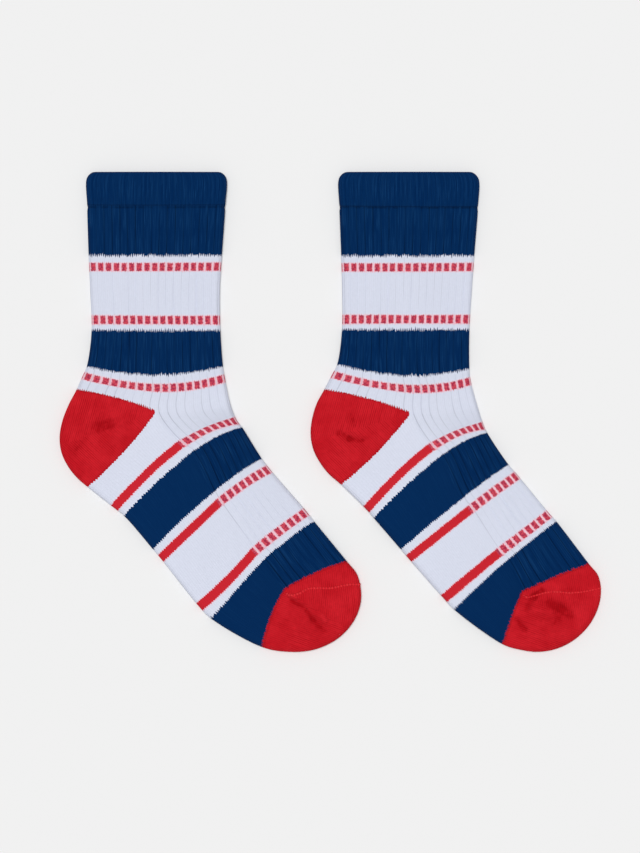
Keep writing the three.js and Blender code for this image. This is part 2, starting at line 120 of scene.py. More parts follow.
rightSock = dict(
    name="right",
    seed=8.7,
    leg=[
        course("mouth", (.0070, .1202), (.0395, .1202), (.0718, .1202), .0054),
        course("cuff shoulder", (.0045, .1170), (.0395, .1168), (.0745, .1168), .0056),
        course("cuff seam", (.0047, .1030), (.0395, .1026), (.0742, .1027), .0054),
        course("top band end", (.0056, .0788), (.0392, .0786), (.0724, .0790), .0048),
        course("mid leg", (.0061, .0610), (.0388, .0610), (.0711, .0610), .0046),
        course("leg band start", (.0060, .0410), (.0380, .0408), (.0699, .0410), .0046),
        course("leg band end", (.0036, .0238), (.0382, .0183), (.0699, .0216), .0048),
        course("ankle stripe", (.0010, .0187), (.0396, .0116), (.0705, .0158), .0050),
        course("heel start", (-.0030, .0110), (.0396, -.0006), (.0739, .0030), .0054),
    ],
    heelFold=[(-.0066, .0044), (-.0090, -.0036), (-.0097, -.0115), (-.0084, -.0186), (-.0051, -.0252),
              (-.0004, -.0312)],
    heelEnd=(.0050, -.0359),
    foot=[
        course("first stripe", (.0182, -.0488), (.0501, -.0180), (.0770, -.0066), .0054),
        course("foot band start", (.0220, -.0532), (.0550, -.0227), (.0789, -.0106), .0052),
        course("foot band end", (.0353, -.0686), (.0653, -.0436), (.0893, -.0261), .0050),
        course("second stripe", (.0393, -.0733), (.0697, -.0492), (.0940, -.0316), .0050),
        course("third stripe", (.0569, -.0933), (.0840, -.0708), (.1100, -.0510), .0052),
        course("toe band start", (.0620, -.0988), (.0879, -.0746), (.1133, -.0546), .0053),
        course("toe start", (.0868, -.1165), (.0964, -.0900), (.1300, -.0764), .0056),
    ],
    toeFold=[(.0948, -.1190), (.1040, -.1202), (.1136, -.1186), (.1226, -.1140), (.1300, -.1066),
             (.1346, -.0974), (.1358, -.0886), (.1342, -.0816)],
    toeBow=dict(back=.0003, front=.0003),
    seamDrop=.0005,
    sag={},
    toeSeam=[(.0960, -.0910), (.0985, -.0926), (.1030, -.0917), (.1085, -.0901), (.1140, -.0899),
             (.1200, -.0904), (.1280, -.0896), (.1358, -.0880)],
    toeWales=(1, .16),
    seamRadius=.00038,
    creases=[
        crease((.0042, -.0106), (.0098, -.0136), .0036, -.0010),
        crease((.0098, -.0136), (.0165, -.0144), .0030, -.0010),
        crease((.0106, -.0028), (.0122, -.0054), .0064, -.0007),
        crease((.0120, -.0080), (.0190, -.0105), .0060, .0003),
        crease((.0290, -.0050), (.0150, -.0066), .0070, -.0003),
        crease((.0060, -.0195), (.0130, -.0265), .0110, .0006),
        crease((.0205, -.0175), (.0265, -.0130), .0070, .0005),
        crease((.1062, -.0892), (.1020, -.0922), .0034, -.0013),
        crease((.1020, -.0922), (.0980, -.0985), .0028, -.0011),
        crease((.0935, -.1038), (.0975, -.1085), .0036, -.0010),
        crease((.1095, -.0955), (.1150, -.0980), .0056, -.0010),
        crease((.1150, -.0980), (.1212, -.1028), .0048, -.0011),
        crease((.1060, -.1030), (.1140, -.1036), .0050, -.0007),
        crease((.1122, -.1058), (.1128, -.1102), .0028, -.0007),
        crease((.1168, -.0893), (.1206, -.0886), .0024, -.0006),
        crease((.1010, -.0985), (.1050, -.1002), .0054, .0007),
        crease((.1180, -.0930), (.1240, -.0948), .0064, .0006),
        crease((.1150, -.1120), (.1225, -.1060), .0080, .0005),
        crease((.0460, -.0080), (.0540, -.0160), .0040, -.0006),
        crease((.0640, -.0010), (.0700, -.0060), .0080, -.0006),
        crease((.0180, .0960), (.0210, .0620), .0120, -.0005),
        crease((.0560, .0560), (.0590, .0300), .0140, -.0005),
        crease((.0380, -.0560), (.0600, -.0760), .0200, .0006),
        crease((.0760, -.0930), (.0820, -.1090), .0100, -.0006),
    ],
    underCreases=[
        crease((.0320, -.0040), (.0080, -.0100), .0070, .0010),
        crease((.0060, -.0200), (.0160, -.0220), .0060, .0006),
        crease((.1040, -.0980), (.1130, -.1050), .0050, .0011),
        crease((.1170, -.0920), (.1240, -.0980), .0060, .0006),
        crease((.0560, -.0110), (.0660, -.0180), .0060, .0008),
        crease((.0260, .0900), (.0280, .0600), .0100, .0005),
        crease((.0720, -.0700), (.0800, -.0820), .0080, .0006),
    ],
)

# The knit is counted in wales, its columns of stitches, and courses, its rows.
knit = dict(
    quarterWales=36,        # wales from a fold to the side line, so 144 round the sock
    ribWales=4,             # three plain wales and a purl one
    walePitch=.00097,
    coursePitch=.00075,
    ribDepth=.00034,
    grooveWidth=.36,        # in wales
    openness=dict(usual=.8, swing=1.9, least=.12, scale=24),    # how a groove opens and closes
    foldRadius=.0028,       # how far in from a fold the cloth reaches its full height
    foldLine=.46,           # height of the folded edge, as a share of the flattened height
    edgeHeight=.9,          # height beside the fold, as a share of that on the side line
    leastSpace=.0003,       # between the two layers
    usualHeight=.005,       # of the flattened sock, which tells its upper layer from its lower one
    waleWander=.00035,      # how far the wales stray sideways
    wanderScale=(90, 25),   # of the noise that they follow
    waver=.00012,           # how unevenly the cloth lies
    waverScale=(60, 150),
)


# Centripetal spline through the points, read at a place counted in points.
def curvePoint(points, place):
    last = len(points) - 1
    place = min(max(place, 0), last)
    i = min(int(place), last - 1)
    t = place - i
    b, c = points[i], points[i + 1]
    a = points[i - 1] if i else 2 * b - c
    d = points[i + 2] if i + 2 <= last else 2 * c - b
    ab, bc, cd = ((q - p).length ** .5 for p, q in ((a, b), (b, c), (c, d)))
    leave = ((b - a) / ab - (c - a) / (ab + bc) + (c - b) / bc) * bc
    arrive = ((c - b) / bc - (d - b) / (bc + cd) + (d - c) / cd) * bc
    return b + t * (leave + t * (3 * (c - b) - 2 * leave - arrive + t * (2 * (b - c) + leave + arrive)))


sideSteps = 20      # for each course


# One curve runs down the back, round the heel, along the sole, round the toe and up the front. Another runs
# down the side line, and lengths holds how far down it each of its small steps lies.
def layOut(sock):
    courses = sock["leg"] + sock["foot"]
    lie = dict(sock)
    lie["courses"] = courses
    lie["outline"] = ([c["back"] for c in sock["leg"]] + [Vector(p + (0,)) for p in sock["heelFold"]]
                      + [Vector(sock["heelEnd"] + (0,))] + [c["back"] for c in sock["foot"]]
                      + [Vector(p + (0,)) for p in sock["toeFold"]] + [c["front"] for c in reversed(courses)])
    lie["sideLine"] = [c["side"] for c in courses]
    lie["heelStart"] = len(sock["leg"]) - 1
    lie["heelFinish"] = lie["heelStart"] + len(sock["heelFold"]) + 1
    lie["toeStart"] = lie["heelFinish"] + len(sock["foot"])
    lie["toeFinish"] = lie["toeStart"] + len(sock["toeFold"]) + 1
    lie["last"] = len(lie["outline"]) - 1
    lie["rows"] = {c["at"]: i for i, c in enumerate(courses)}
    lengths = [0]
    for i in range(sideSteps * (len(courses) - 1)):
        here, ahead = (curvePoint(lie["sideLine"], n / sideSteps) for n in (i, i + 1))
        lengths.append(lengths[-1] + (ahead - here).xy.length)
    lie["lengths"] = lengths
    return lie


# From a place, counted in courses, to the length down the side line, and back.
def lengthAt(lie, place):
    lengths = lie["lengths"]
    i = min(int(place * sideSteps), len(lengths) - 2)
    return lengths[i] + (lengths[i + 1] - lengths[i]) * (place * sideSteps - i)


def placeAt(lie, length):
    lengths = lie["lengths"]
    i = max(n for n, known in enumerate(lengths[:-1]) if known <= length)
    return (i + (length - lengths[i]) / (lengths[i + 1] - lengths[i])) / sideSteps


heel = dict(
    rows=56,
    puff=.0012,
    firstBow=.0014,         # how far its first course bows up the leg
    lastBow=.0018,          # and its last one along the foot
)
toe = dict(rows=72, puff=.0013)
pocket = dict(
    wall=.0020,
    rowsToInnerRow=4,       # the inside has a row for every fourth one outside
    underWales=1000,        # shifts the pattern underneath, so that it isn't a copy of the upper one
)


# The bend of a spoke that bows to its right, looking outwards from the pole.
def bowed(edge, pole, bow):
    along = (edge - pole).xy.normalized()
    return Vector((along.y, -along.x, 0)) * 4 * bow


# A spoke is half a course, from a pole on the side line to the folded edge.
def spoke(edge, pole, bend, puff=0):
    return dict(edge=edge, pole=pole.xy.to_3d(), bend=bend, thick=pole.z, puff=puff)


# The back and front spokes of a course. Past the heel the back fold lies on the sole.
def spokesAt(lie, place, onFoot):
    pole = curvePoint(lie["sideLine"], place)
    back = curvePoint(lie["outline"], lie["heelFinish"] + place - lie["heelStart"] if onFoot else place)
    front = curvePoint(lie["outline"], lie["last"] - place)
    legBack = lie["leg"][-1]["back"]
    nearHeel = max(1 - abs(place - lie["heelStart"]), 0)
    flatPole = pole.xy.to_3d()
    bend = flatPole - (back + front) / 2
    frontBend = bend.lerp(flatPole - (legBack + front) / 2, nearHeel) if onFoot else bend
    heelBend = bowed(back, flatPole, -heel["lastBow"] if onFoot else heel["firstBow"])
    backBend = bend.lerp(heelBend, nearHeel)
    nearToe = max(place + 2 - len(lie["courses"]), 0)
    backBend = backBend.lerp(bowed(back, flatPole, lie["toeBow"]["back"]), nearToe)
    frontBend = frontBend.lerp(bowed(front, flatPole, -lie["toeBow"]["front"]), nearToe)
    return dict(back=spoke(back, pole, backBend), front=spoke(front, pole, frontBend))


# How far the creases lift the cloth at a point. Each fades across its width and round its ends.
def creaseRise(creases, x, y):
    rise, faded = 0, 6
    for c in creases:
        (ax, ay), (bx, by) = c["start"], c["end"]
        dx, dy = bx - ax, by - ay
        t = min(max(((x - ax) * dx + (y - ay) * dy) / (dx * dx + dy * dy), 0), 1)
        away = ((x - ax - t * dx) ** 2 + (y - ay - t * dy) ** 2) * 4 / c["width"] ** 2
        if away < faded:
            rise += c["rise"] * math.exp(-away)
    return rise


# A point of the cloth. share runs from 0 on the side line to 1 on the fold, along the cloth and round the fold.
def clothPoint(lie, ray, share, upper, depth, relief=0, wall=.0019):
    edge, pole, bend = ray["edge"], ray["pole"], ray["bend"]
    reach = (edge - pole).length
    radius = knit["foldRadius"]
    turn = radius * math.pi / 2
    along = (1 - share) * (reach - radius + turn)
    inset = depth + relief
    if along < turn:
        away = radius - (radius - inset) * math.cos(along / radius)
        opening = math.sin(along / radius)
    else:
        away = radius + along - turn
        opening = 1
    q = max(1 - away / reach, 0)
    flat = pole + q * (edge - pole) + q * (1 - q) * bend
    x, y = flat.x, flat.y
    lift = creaseRise(lie["creases"] if upper else lie["underCreases"], x, y)
    broad, fine = knit["waverScale"]
    uneven = noise.noise(Vector((x * broad, y * broad, lie["seed"])))
    uneven += .5 * noise.noise(Vector((x * fine, y * fine, 5)))
    middle = knit["foldLine"] * ray["thick"]
    if upper:
        crown = ray["thick"] * (knit["edgeHeight"] + (1 - knit["edgeHeight"]) * math.cos(q * math.pi / 2))
        crown += ray["puff"] * math.sin(q * math.pi) + lift + knit["waver"] * uneven
        crown = max(crown, 2 * wall + knit["leastSpace"])
        z = middle + (crown - inset - middle) * opening
    else:
        floorGap = max(lift + knit["waver"] * uneven, 0)
        z = middle - (middle - min(inset + floorGap, middle * .9)) * opening
    across, down = knit["wanderScale"]
    stray = knit["waleWander"] * min(along / turn, 1) * min(q * 8, 1)
    x += stray * noise.noise(Vector((x * across, y * down, lie["seed"] + 11)))
    return Vector((x, y, z))


def smoothStep(low, high, value):
    t = min(max((value - low) / (high - low), 0), 1)
    return t * t * (3 - 2 * t)


# How far the knit lies below its crests, wale by wale. Each groove opens and closes along its length.
def ribRelief(lie, wale, length):
    fromGroove = abs(wale % knit["ribWales"] - knit["ribWales"] / 2)
    groove = wale // knit["ribWales"]
    openness = knit["openness"]
    along = noise.noise(Vector((groove * 3.7, length * openness["scale"], lie["seed"])))
    grooveStrength = max(openness["usual"] + openness["swing"] * along, openness["least"])
    return knit["ribDepth"] * grooveStrength * math.exp(-(fromGroove / knit["grooveWidth"]) ** 2)


# The cuff's finer rib: every other wale lies back.
def fineRelief(wale):
    return cuff["ribDepth"] * (1 - math.cos(wale * math.pi)) / 2


# Which spoke, share of it and layer a turn round the tube lies on: 0 is the back fold, 2 the front one.
def roundTube(turn):
    turn %= 4
    if turn <= 1:
        return "back", 1 - turn, True
    if turn <= 2:
        return "front", turn - 1, True
    if turn <= 3:
        return "front", 3 - turn, False
    return "back", turn - 3, False


# Adds a grid of cloth to the mesh: place(i, j) gives a point, and stitch(i, j, row) its wale and course, where
# row is the row of faces that asks. The attribute holds how far creases lift the cloth, in millimetres.
def addCloth(bm, lie, columns, rows, place, stitch):
    uvLayer = bm.loops.layers.uv.get("knit") or bm.loops.layers.uv.new("knit")
    creased = bm.verts.layers.float.get("creased") or bm.verts.layers.float.new("creased")
    made = bmesh.ops.create_grid(bm, x_segments=columns, y_segments=rows, size=.5)
    spot = {}
    for vert in made["verts"]:
        spot[vert] = (round((vert.co.x + .5) * columns), round((vert.co.y + .5) * rows))
    faces = {face for vert in made["verts"] for face in vert.link_faces}
    for face in faces:
        row = min(spot[vert][1] for vert in face.verts)
        for loop in face.loops:
            loop[uvLayer].uv = stitch(*spot[loop.vert], row)
    for vert, (i, j) in spot.items():
        vert.co = place(i, j)
        creases = lie["creases"] if vert.co.z > knit["foldLine"] * knit["usualHeight"] else lie["underCreases"]
        vert[creased] = creaseRise(creases, vert.co.x, vert.co.y) * 1000


closing = dict(mergeWithin=1e-6, leastFaceArea=1e-13)


# Merges the grids into one closed shell, and says which body it rides on and which solids it replaces.
def finishCloth(name, bm, material, nodes):
    bmesh.ops.remove_doubles(bm, verts=bm.verts, dist=closing["mergeWithin"])
    flat = [face for face in bm.faces if face.calc_area() < closing["leastFaceArea"]]
    bmesh.ops.delete(bm, geom=flat, context="FACES")
    bmesh.ops.recalc_face_normals(bm, faces=bm.faces)
    mesh = bpy.data.meshes.new(name)
    openEdges = sum(edge.is_boundary for edge in bm.edges)
    bm.to_mesh(mesh)
    bm.free()
    mesh.shade_smooth()
    mesh.materials.append(material)
    piece = bpy.data.objects.new(name, mesh)
    bpy.context.collection.objects.link(piece)
    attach(piece, "root")
    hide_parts(*nodes)
    print(name, len(mesh.polygons), "faces,", openEdges, "open edges")
    return piece


cuff = dict(
    wall=.0023,
    columns=288,
    rimSteps=8,
    outerSteps=22,
    innerSteps=8,
    ribDepth=.00011,
    seamDip=.0003,
    seamWidth=.0010,
)
tube = dict(
    wall=.0019,
    columns=288,
    rowStep=.00105,
    innerRowStep=.0065,
    seamFade=.0015,         # how soon the ribs reach their depth below the cuff
    pocketFade=.0020,       # and how soon before a pocket they lose it
)


# The cloth sinks a little where the cuff is joined to the tube.
def seamDip(lie, length):
    fromSeam = (length - lie["seamDrop"] - lengthAt(lie, lie["rows"]["cuff seam"])) / cuff["seamWidth"]
    return cuff["seamDip"] * math.exp(-fromSeam ** 2)


# A closed profile from the rim down the outside and back up the inside.
def makeCuff(lie, material):
    wall = cuff["wall"]
    seam = lie["rows"]["cuff seam"]
    rim = wall / 2
    full = lengthAt(lie, seam)
    profile = []
    for i in range(cuff["rimSteps"] + 1):
        angle = math.pi * i / cuff["rimSteps"]
        profile.append((rim * (1 - math.sin(angle)), wall * (1 + math.cos(angle)) / 2))
    for i in range(1, cuff["outerSteps"] + 1):
        profile.append((rim + (full - rim) * i / cuff["outerSteps"], 0))
    for i in range(cuff["innerSteps"]):
        profile.append((full - (full - rim) * i / cuff["innerSteps"], wall))
    profile.append(profile[0])
    rays = [spokesAt(lie, placeAt(lie, length), False) for length, _ in profile]
    columns = cuff["columns"]

    def wale(i):
        return 4 * knit["quarterWales"] * i / columns

    def place(i, j):
        side, share, upper = roundTube(4 * i / columns)
        length, depth = profile[j]
        outer = 1 - depth / wall
        relief = outer * (fineRelief(wale(i)) + seamDip(lie, length))
        return clothPoint(lie, rays[j][side], share, upper, depth, relief, wall)

    def stitch(i, j, row):
        length, depth = profile[j]
        return wale(i), (length - depth) / knit["coursePitch"]

    bm = bmesh.new()
    addCloth(bm, lie, columns, len(profile) - 1, place, stitch)
    return finishCloth(lie["name"] + "_cuff_cloth", bm, material, [lie["name"] + "_cuff"])


# The tube's rows between two places, as lengths and depths: down the outside, and back up the inside.
def tubeRows(lie, first, last):
    start, end = lengthAt(lie, first), lengthAt(lie, last)
    outer = max(round((end - start) / tube["rowStep"]), 1)
    inner = max(round((end - start) / tube["innerRowStep"]), 1)
    outside = [(start + (end - start) * i / outer, 0) for i in range(outer + 1)]
    inside = [(end - (end - start) * i / inner, tube["wall"]) for i in range(inner + 1)]
    return outside, inside


# The leg and foot. Its front half runs on past the heel, and its back half opens round the heel pocket.
def makeTube(lie, material):
    wall, columns, quarter = tube["wall"], tube["columns"], knit["quarterWales"]
    heelRow, seam, last = lie["heelStart"], lie["rows"]["cuff seam"], len(lie["courses"]) - 1
    legOut, legIn = tubeRows(lie, seam, heelRow)
    footOut, footIn = tubeRows(lie, heelRow, last)
    seamLength, heelLength, toeLength = (lengthAt(lie, row) for row in (seam, heelRow, last))
    bm = bmesh.new()

    def addRings(profile, onFoot, firstTurn=0, lastTurn=4):
        rays = [spokesAt(lie, placeAt(lie, length), onFoot) for length, _ in profile]
        count = round(columns * (lastTurn - firstTurn) / 4)

        def wale(i):
            return quarter * (firstTurn + (lastTurn - firstTurn) * i / count)

        def place(i, j):
            side, share, upper = roundTube(wale(i) / quarter)
            length, depth = profile[j]
            relief = 0
            if depth == 0 and not (onFoot and side == "back"):
                pocketAt = heelLength if side == "back" else toeLength
                pastSeam = smoothStep(0, tube["seamFade"], length - seamLength)
                beforePocket = smoothStep(0, tube["pocketFade"], pocketAt - length)
                relief = ribRelief(lie, wale(i), length) * (pastSeam * beforePocket)
            if depth == 0:
                relief += seamDip(lie, length)
            return clothPoint(lie, rays[j][side], share, upper, depth, relief, wall)

        def stitch(i, j, row):
            return wale(i), profile[j][0] / knit["coursePitch"]

        addCloth(bm, lie, count, len(profile) - 1, place, stitch)

    addRings(legIn + legOut, False)
    addRings(footOut + footIn, True)
    # the wall's edges where the heel pocket sits
    addRings([legOut[-1], legIn[0]], False, 3, 5)
    addRings([footIn[-1], footOut[0]], True, 3, 5)
    name = lie["name"]
    return finishCloth(name + "_leg_and_foot_cloth", bm, material, [name + "_leg_and_foot"])


# A pocket's rows fan out from the pole. Its courses are counted from the first row up to the mitre line, and
# from the last row, or from the line of toeWales, beyond it.
def makePocket(lie, kind, settings, first, last, pole, bendAt, material):
    wall, rows, half = pocket["wall"], settings["rows"], knit["quarterWales"] * 2
    columns = half * 2
    rays = []
    for j in range(rows + 1):
        edge = curvePoint(lie["outline"], first + (last - first) * j / rows)
        puff = settings["puff"] * math.sin(math.pi * j / rows)
        rays.append(spoke(edge, pole, bendAt(edge, j / rows), puff))
    innerRows = list(range(rows, -1, -pocket["rowsToInnerRow"]))
    profile = [(j, 0) for j in range(rows + 1)] + [(j, wall) for j in innerRows] + [(0, 0)]
    ways = [(ray["edge"] - ray["pole"]).normalized() for ray in (rays[0], rays[-1])]
    if kind == "toe":
        ways[1] = Vector(lie["toeWales"] + (0,)).normalized()

    def place(i, j):
        key = 2 * i / columns - 1
        row, depth = profile[j]
        return clothPoint(lie, rays[row], 1 - abs(key), key >= 0, depth, 0, wall)

    def stitch(i, j, row):
        point = place(i, j) - rays[0]["pole"]
        way = ways[0] if profile[row][0] < rows / 2 else ways[1]
        shift = pocket["underWales"] if i < half else 0
        across = point.x * way.y - point.y * way.x
        return point.dot(way) / knit["walePitch"] + shift, across / knit["coursePitch"]

    bm = bmesh.new()
    addCloth(bm, lie, columns, len(profile) - 1, place, stitch)
    name = lie["name"] + "_" + kind
    return finishCloth(name + "_cloth", bm, material, [name])


def makeHeel(lie, material):
    pole = curvePoint(lie["sideLine"], lie["heelStart"])

    def bendAt(edge, share):
        return bowed(edge, pole.xy.to_3d(), heel["firstBow"] * (1 - share) - heel["lastBow"] * share)

    return makePocket(lie, "heel", heel, lie["heelStart"], lie["heelFinish"], pole, bendAt, material)


def makeToe(lie, material):
    last = len(lie["courses"]) - 1
    pole = curvePoint(lie["sideLine"], last)

    def bendAt(edge, share):
        bow = lie["toeBow"]["back"] if share < .5 else -lie["toeBow"]["front"]
        return bowed(edge, pole.xy.to_3d(), bow * (1 - 2 * share) ** 2)

    return makePocket(lie, "toe", toe, lie["toeStart"], lie["toeFinish"], pole, bendAt, material)


seamCord = dict(
    stitch=.0015,
    sides=8,
    perStitch=6,
    steps=120,
    flat=1.3,               # width to height
    waist=.62,              # how thin a stitch is at its ends
    lookAhead=.0006,
    above=.02,              # where the rays that find the cloth start
    below=-.01,
)


# The seam that closes the toe runs from the side line over the fold and back underneath: a chain of stitches,
# half sunk into the cloth.
def makeToeSeam(lie, toeCloth, material):
    mesh = toeCloth.data
    tree = BVHTree.FromPolygons([v.co for v in mesh.vertices], [f.vertices for f in mesh.polygons])
    path = [Vector(p + (0,)) for p in lie["toeSeam"]]
    steps = seamCord["steps"]
    across = [curvePoint(path, (len(path) - 1) * i / steps) for i in range(2, steps + 1)]
    radius = lie["seamRadius"]
    trail = []
    for upper in (True, False):
        start, way = (seamCord["above"], -1) if upper else (seamCord["below"], 1)
        found = [tree.ray_cast(Vector((p.x, p.y, start)), Vector((0, 0, way)))[0] for p in across]
        found = [spot for spot in found if spot]
        trail += found if upper else [Vector((p.x, p.y, max(p.z, radius * 1.1))) for p in reversed(found)]
    lengths = [0]
    for a, b in zip(trail, trail[1:]):
        lengths.append(lengths[-1] + (b - a).length)
    stitches = round(lengths[-1] / seamCord["stitch"])
    rows = stitches * seamCord["perStitch"]

    def spotAt(length):
        i = max(n for n, known in enumerate(lengths[:-1]) if known <= length)
        return trail[i].lerp(trail[i + 1], (length - lengths[i]) / max(lengths[i + 1] - lengths[i], 1e-9))

    def place(i, j):
        length = lengths[-1] * j / rows
        here = spotAt(length)
        near = seamCord["lookAhead"]
        ahead = spotAt(min(length + near, lengths[-1])) - spotAt(max(length - near, 0))
        along = ahead.normalized()
        outwards = along.cross(Vector((0, 0, 1)))
        sideways = outwards.normalized() if outwards.length > .1 else Vector((0, 1, 0))
        up = sideways.cross(along)
        waist = seamCord["waist"]
        swell = waist + (1 - waist) * abs(math.sin(math.pi * j / seamCord["perStitch"]))
        ends = min(j, rows - j, 2) / 2
        angle = 2 * math.pi * i / seamCord["sides"]
        thick = radius * swell * ends
        return here + (sideways * math.cos(angle) * seamCord["flat"] + up * math.sin(angle)) * thick

    def stitch(i, j, row):
        return i / seamCord["sides"], j / seamCord["perStitch"]

    bm = bmesh.new()
    addCloth(bm, lie, seamCord["sides"], rows, place, stitch)
    name = lie["name"]
    return finishCloth(name + "_toe_seam", bm, material, [name + "_toe"])


# Shader maths: a wire is a socket that takes part in Python expressions.
class Wire:
    def __init__(self, socket):
        self.socket = socket

    # adds a node: its settings first, then the values or links of its sockets
    def node(self, kind, settings, inputs, output=0):
        tree = self.socket.id_data
        made = tree.nodes.new("ShaderNode" + kind)
        for name, value in settings.items():
            setattr(made, name, value)
        for name, value in inputs.items():
            if isinstance(value, Wire):
                tree.links.new(value.socket, made.inputs[name])
            else:
                made.inputs[name].default_value = value
        return Wire(made.outputs[output])

    def maths(self, operation, *values):
        return self.node("Math", {"operation": operation}, dict(enumerate(values)))

    def __add__(self, other):
        return self.maths("ADD", self, other)

    def __sub__(self, other):
        return self.maths("SUBTRACT", self, other)

    def __rsub__(self, other):
        return self.maths("SUBTRACT", other, self)

    def __mul__(self, other):
        return self.maths("MULTIPLY", self, other)

    def __truediv__(self, other):
        return self.maths("DIVIDE", self, other)

    def __mod__(self, other):
        return self.maths("FLOORED_MODULO", self, other)

    def __abs__(self):
        return self.maths("ABSOLUTE", self)

    def __lt__(self, other):
        return self.maths("LESS_THAN", self, other)

    def __gt__(self, other):
        return self.maths("GREATER_THAN", self, other)

    __radd__ = __add__
    __rmul__ = __mul__

    def sine(self):
        return self.maths("SINE", self)

    def clamped(self):
        return self.node("Clamp", {}, {"Value": self})

    # goes from 0 at low to 1 at high
    def between(self, low, high):
        return self.node("MapRange", {"interpolation_type": "SMOOTHSTEP"},
                         {"Value": self, "From Min": low, "From Max": high})

    def noise(self, scale, detail=2):
        inputs = {"Vector": self, "Scale": scale, "Detail": detail}
        return self.node("TexNoise", {"noise_dimensions": "3D"}, inputs)

    # this wire is how much of b shows over a
    def mix(self, a, b):
        return self.node("Mix", {"data_type": "RGBA"}, {0: self, 6: a, 7: b}, 2)


yarns = dict(
    navy=(.0006, .0197, .0870, 1),
    navyLit=(.0040, .0360, .1250, 1),
    white=(.705, .737, .860, 1),
    red=(.525, .0090, .0165, 1),
    # redLit is a lighter red, also the painted highlight on crease ridges; redShaded is a darker red for
    # painted shade
    redLit=(.64, .0160, .0260, 1),
    redShaded=(.37, .0030, .0070, 1),
    seamWorn=(.68, .030, .038, 1),
    stripeRed=(.60, .021, .033, 1),
    dashRed=(.68, .075, .110, 1),
    dashDeep=(.38, .030, .075, 1),
    pink=(.92, .44, .52, 1),
    palePink=(.84, .64, .73, 1),
)
yarnFinish = dict(roughness=.9, sheen=.01, sheenRoughness=.5, specular=.02, stitchHeight=.00028)


# Each row: the course it lies on, how much further on, half its width, and whether it is on the foot.
stripes = dict(halo=.0005, haloStrength=.45, rows=[
    ("top band end", .0063, .00200, False),
    ("leg band start", -.0056, .00200, False),
    ("ankle stripe", 0, .00190, False),
    ("first stripe", 0, .00215, True),
    ("second stripe", 0, .00215, True),
    ("third stripe", 0, .00225, True),
])

# Each row: the course that the band starts on, how much further on, and the same for its end.
bands = [
    ("cuff seam", -.01, "top band end", .0006),
    ("leg band start", -.0004, "leg band end", 0),
    ("foot band start", -.0003, "foot band end", .0002),
    ("toe band start", 0, "toe start", .02),
]

# How far the colours' edges are toothed, in courses, and where the painted shade in the ribs' grooves is
# stronger.
edges = dict(legTeeth=1.5, footTeeth=.8, stripeTeeth=.5)
groovesShadedMore = dict(
    besidePlain=(20, 33),   # on the instep, in wales from the front fold
    ankle=(-3, 6),          # in courses from the leg band's end
    ankleFade=34,           # in courses from the heel
)


# Starts a knit material, and gives its shader, the wale and course of each point, its place and its creases.
def startKnit(name):
    material = bpy.data.materials.new(name)
    material.use_nodes = True
    tree = material.node_tree
    shader = tree.nodes["Principled BSDF"]
    shader.inputs["Roughness"].default_value = yarnFinish["roughness"]
    shader.inputs["Sheen Weight"].default_value = yarnFinish["sheen"]
    shader.inputs["Sheen Roughness"].default_value = yarnFinish["sheenRoughness"]
    shader.inputs["Specular IOR Level"].default_value = yarnFinish["specular"]
    stitchMap = tree.nodes.new("ShaderNodeUVMap")
    stitchMap.uv_map = "knit"
    split = tree.nodes.new("ShaderNodeSeparateXYZ")
    tree.links.new(stitchMap.outputs[0], split.inputs[0])
    objectPlace = Wire(tree.nodes.new("ShaderNodeTexCoord").outputs["Object"])
    creased = tree.nodes.new("ShaderNodeAttribute")
    creased.attribute_name = "creased"
    creased = Wire(creased.outputs["Fac"])
    return material, shader, Wire(split.outputs[0]), Wire(split.outputs[1]), objectPlace, creased


# The height of plain knitting: two slanting legs in each stitch.
def stitchHeight(wale, courses):
    fromMiddle = abs(wale % 1 - .5) * 2
    leg = (((courses - fromMiddle * .8) % 1) * math.pi).sine()
    plump = ((fromMiddle * .75 + .2) * math.pi).sine()
    return (leg * .5 + .5) * (plump * .8 + .2)


# Noise that is stretched along the wales.
def streaks(wale, courses, across, along):
    return wale.node("CombineXYZ", {}, {0: wale * across, 1: courses * along}).noise(1, 1)


# Joins colour and relief to the shader, with uneven yarn and painted shade in the hollows between the stitches.
def finishKnit(material, shader, colour, height, wale, courses, place, shade, depth):
    tree = material.node_tree
    uneven = place.noise(900, 3) * .5 + streaks(wale, courses, 1.3, .3) * .5
    # painted shade: the low parts of each stitch are darker, as far as depth says, times the given shade
    light = ((uneven - .5) * depth * 1.2 + (height - .6) * depth + 1) * shade
    grey = light.node("CombineColor", {}, {0: light, 1: light, 2: light})
    paintedLightColour = light.node("Mix", {"data_type": "RGBA", "blend_type": "MULTIPLY"}, {0: 1.0, 6: colour, 7: grey}, 2)
    tree.links.new(paintedLightColour.socket, shader.inputs["Base Color"])
    fuzz = place.noise(2600, 2)
    bump = height.node("Bump", {}, {"Strength": .8, "Distance": yarnFinish["stitchHeight"],
                                    "Height": height + fuzz * .4})
    tree.links.new(bump.socket, shader.inputs["Normal"])
    return material


# The toothed edge of a colour: the middle of a wale reaches further than its sides, and each wale differs.
def toothed(wale, courses, size):
    teeth = abs(wale % 1 - .5) * 2.6 - .65
    return courses + (teeth + (streaks(wale, courses, 1.2, .15) - .5) * 2.8) * size


# Navy yarn catches the light along some wales, less so where the knit is calm.
def navyShade(wale, courses, calm=0):
    lit = streaks(wale, courses, 3.1, .05).between(.53, .64)
    broad = streaks(wale, courses, .5, .02).between(.3, .7)
    return ((lit * .95 + broad * .22) * (1 - calm * .8) + calm * .20).mix(yarns["navy"], yarns["navyLit"])


def makeSeamKnit(name):
    material, shader, wale, courses, place, _ = startKnit(name)
    worn = place.noise(800, 2).between(.35, .65).mix(yarns["redLit"], yarns["seamWorn"])
    twist = ((courses % 1) * math.pi).sine()
    return finishKnit(material, shader, worn, twist, wale, courses, place, 1, .25)


